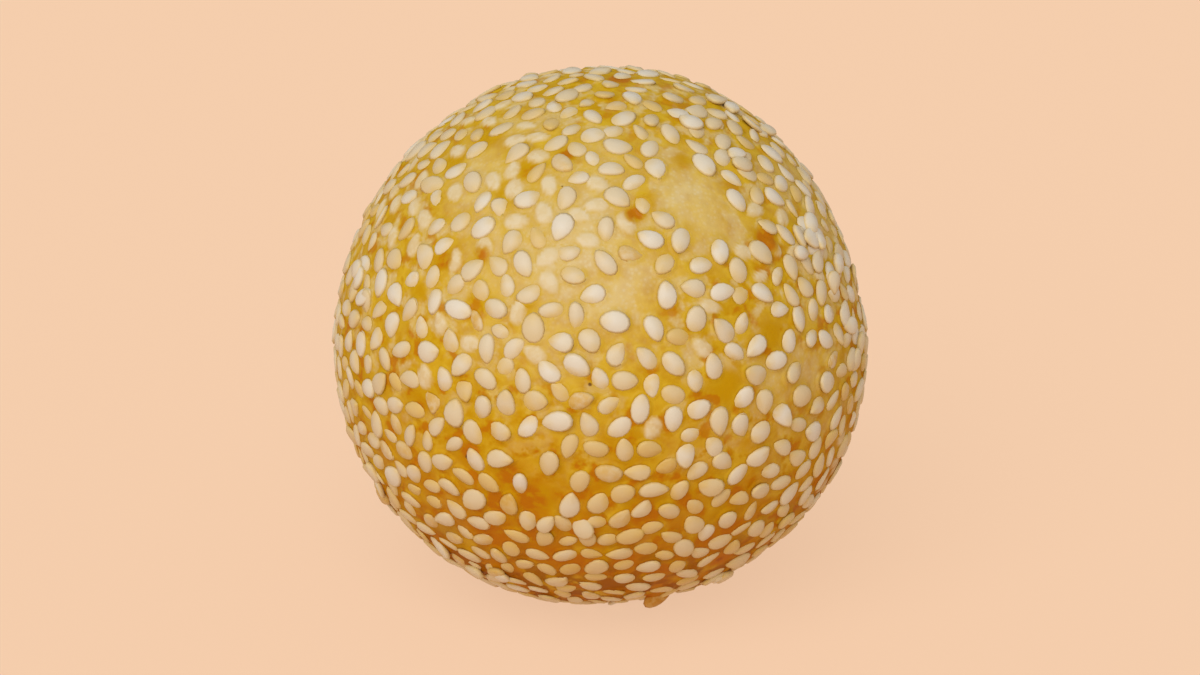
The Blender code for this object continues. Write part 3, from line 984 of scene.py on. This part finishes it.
def sesame_material():
    """Hulled sesame: golden to cream to white by the seed's tone, honey-coloured towards its edge and where
    the dough clings to it, browned as its toast goes up to 1 and burnt above that, with a faint grain."""
    material, tree, shader = start_material("sesame", Roughness=0.44, Specular_IOR_Level=0.35, IOR=1.45)
    place = node(tree, "ShaderNodeTexCoord").outputs["Object"]
    tone_and_shade = attribute(tree, "tone_and_shade")
    grain = noise(tree, place, GRAIN_SCALE, 2)
    colour = mixed(tree, ranged(tree, tone_and_shade, 0.0, 0.5), GOLDEN_SEED, CREAM_SEED)
    colour = mixed(tree, ranged(tree, tone_and_shade, 0.45, 1.0), colour, WHITE_SEED)
    edge = times(tree, attribute(tree, "edge"), ranged(tree, grain, 0.3, 0.7, 0.55, 0.85))
    colour = mixed(tree, edge, colour, HONEY_EDGE)
    toast = attribute(tree, "toast")
    browned = times(tree, ranged(tree, toast, 0.0, 1.0), ranged(tree, grain, 0.25, 0.7, 0.35, 1.0))
    colour = mixed(tree, browned, colour, BROWNED_SEED)
    burnt = times(tree, ranged(tree, toast, 1.0, 2.0), ranged(tree, grain, 0.3, 0.65, 0.5, 1.0))
    colour = mixed(tree, burnt, colour, BURNT_SEED)
    finish_surface(tree, shader, colour, grain, GRAIN_RELIEF, 0.35)
    return material


# Tone of the seeds: its mean and spread, what it gains for each metre of lift, and what it loses low down and
# at the top, each over a range of how far the seed's way leads down or up. The loss low down is partly golden
# seeds and partly painted shade
TONE = 0.70
TONE_SPREAD = 0.24
TONE_OF_LIFT = 600
TONE_AND_SHADE_LOST_LOW = 0.40
LOW_DOWN = (-0.35, 0.55)
TONE_LOST_HIGH = 0.20
HIGH_UP = (0.65, 0.95)

# Shares of the seeds that are toasted, anywhere and in addition low down, and how strongly. The last seed is
# the hanging one
TOASTED_SEEDS = 0.03
TOASTED_SEEDS_LOW = 0.08
SEED_TOAST = (0.3, 0.9)
HANGING_SEED_TONE = 0.1
HANGING_SEED_TOAST = 1.8


def seed_shades(seeds, draw):
    """Each seed's tone and toast. A few are toasted, more of them low down, and the hanging one is burnt."""
    count = len(seeds["way"])
    low_down = smooth_step(-seeds["way"][:, 2], *LOW_DOWN)
    high_up = smooth_step(seeds["way"][:, 2], *HIGH_UP)
    tone_and_shade = draw.normal(TONE, TONE_SPREAD, count) + TONE_OF_LIFT * seeds["lift"]
    # Seeds low down lose tone: partly golden seeds, partly painted shade
    tone_and_shade = np.clip(tone_and_shade - TONE_AND_SHADE_LOST_LOW * low_down - TONE_LOST_HIGH * high_up, 0, 1)
    chosen = draw.uniform(size=count) < TOASTED_SEEDS + TOASTED_SEEDS_LOW * low_down
    toast = np.where(chosen, draw.uniform(*SEED_TOAST, count), 0.0)
    tone_and_shade[-1] = HANGING_SEED_TONE
    toast[-1] = HANGING_SEED_TOAST
    return tone_and_shade, toast


def dress():
    """The skin and the seeds of each kind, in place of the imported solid."""
    seeds = lay_seeds()
    draw = np.random.default_rng(LOOKS_DRAW)
    forms = seed_forms(seeds, draw)
    tone_and_shade, toast = seed_shades(seeds, draw)
    lift = seeds["lift"]
    settled = (lift >= FILMED_BELOW) & (lift < LOWEST_HEAPED)
    kinds = {
        "seeds_standing_proud": lift >= 0,
        "seeds_half_sunk": (lift < 0) & (lift >= FILMED_BELOW),
    }
    dough = dough_material()
    sesame = sesame_material()
    pieces = [(skin(seeds), dough, "fried_dough"),
              (collars(seeds, forms, np.flatnonzero(settled)), dough, "fried_dough")]
    for name, wanted in kinds.items():
        piece = seed_piece(name, seeds, forms, np.flatnonzero(wanted), tone_and_shade, toast)
        pieces.append((piece, sesame, "sesame_seed"))
    for piece, material, slot in pieces:
        piece.data.materials.append(material)
        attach(piece, "root")
        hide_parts("sesame_ball")


# The photograph's width and the ball's radius in it, in pixels, that radius with the seeds on in metres, and
# the camera's lens and sensor in millimetres
PHOTO_WIDTH = 1200
BALL_RADIUS_IN_PHOTO = 268.6
SEEDED_RADIUS = 0.0319
LENS = 85.0
SENSOR = 36.0
ELEVATION_DEG = 20.0


def camera():
    """A camera in front of and above the ball, as far off as makes the ball as large as in the photograph."""
    data = bpy.data.cameras.new("camera")
    data.lens = LENS
    data.sensor_width = SENSOR
    data.clip_start = 0.01
    data.clip_end = 100.0
    seen = math.atan(BALL_RADIUS_IN_PHOTO / PHOTO_WIDTH * SENSOR / LENS)
    away = SEEDED_RADIUS / math.sin(seen)
    rise = math.radians(ELEVATION_DEG)
    made = bpy.data.objects.new("camera", data)
    made.location = (0.0, -away * math.cos(rise), CENTRE_HEIGHT + away * math.sin(rise))
    made.rotation_euler = (math.pi / 2 - rise, 0.0, 0.0)
    bpy.context.scene.collection.objects.link(made)
    bpy.context.scene.camera = made


# The pale floor, in metres, and the soft light. The key comes from degrees round and degrees up
PEACH = (0.9130, 0.6172, 0.4179, 1)
MATT_PEACH = (0.18, 0.122, 0.083, 1)
FLOOR_GLOW = 0.805
FLOOR_RADIUS = 6.0
ROOM_WHITE = (1.0, 0.985, 0.96, 1)
ROOM_STRENGTH = 0.51
KEY_FROM = (-18, 42)
KEY_STRENGTH = 2.2
KEY_WIDTH_DEG = 60
KEY_WHITE = (1.0, 0.99, 0.97)


def floor():
    """A wide plain disc whose pale peach comes mostly from a glow, so that the ball's shadow stays faint."""
    bpy.ops.mesh.primitive_circle_add(vertices=64, radius=FLOOR_RADIUS, fill_type="NGON")
    disc = bpy.context.active_object
    disc.name = "floor"
    material = bpy.data.materials.new("pale floor")
    material.use_nodes = True
    tree = material.node_tree
    tree.nodes.remove(tree.nodes["Principled BSDF"])
    glow = node(tree, "ShaderNodeEmission", {"Color": PEACH, "Strength": FLOOR_GLOW})
    matt = node(tree, "ShaderNodeBsdfDiffuse", {"Color": MATT_PEACH})
    both = node(tree, "ShaderNodeAddShader", {0: glow.outputs[0], 1: matt.outputs[0]})
    tree.links.new(both.outputs[0], tree.nodes["Material Output"].inputs["Surface"])
    disc.data.materials.append(material)


def light():
    """Plain soft light: a bright neutral room, peach only where the camera looks past the floor, and one wide
    lamp from the upper left."""
    world = bpy.data.worlds.new("studio")
    world.use_nodes = True
    bpy.context.scene.world = world
    tree = world.node_tree
    room = tree.nodes["Background"]
    room.inputs["Color"].default_value = ROOM_WHITE
    room.inputs["Strength"].default_value = ROOM_STRENGTH
    behind = node(tree, "ShaderNodeBackground", {"Color": PEACH, "Strength": 1.0})
    seen = node(tree, "ShaderNodeLightPath").outputs["Is Camera Ray"]
    both = node(tree, "ShaderNodeMixShader", {0: seen, 1: room.outputs[0], 2: behind.outputs[0]})
    tree.links.new(both.outputs[0], tree.nodes["World Output"].inputs["Surface"])
    data = bpy.data.lights.new("key", "SUN")
    data.energy = KEY_STRENGTH
    data.angle = math.radians(KEY_WIDTH_DEG)
    data.color = KEY_WHITE
    key = bpy.data.objects.new("key", data)
    key.rotation_euler = Vector(direction(*KEY_FROM)).to_track_quat("Z", "Y").to_euler()
    bpy.context.scene.collection.objects.link(key)
    bpy.context.scene.view_settings.view_transform = "Standard"
    bpy.context.scene.view_settings.look = "None"


dress()
camera()
floor()
light()
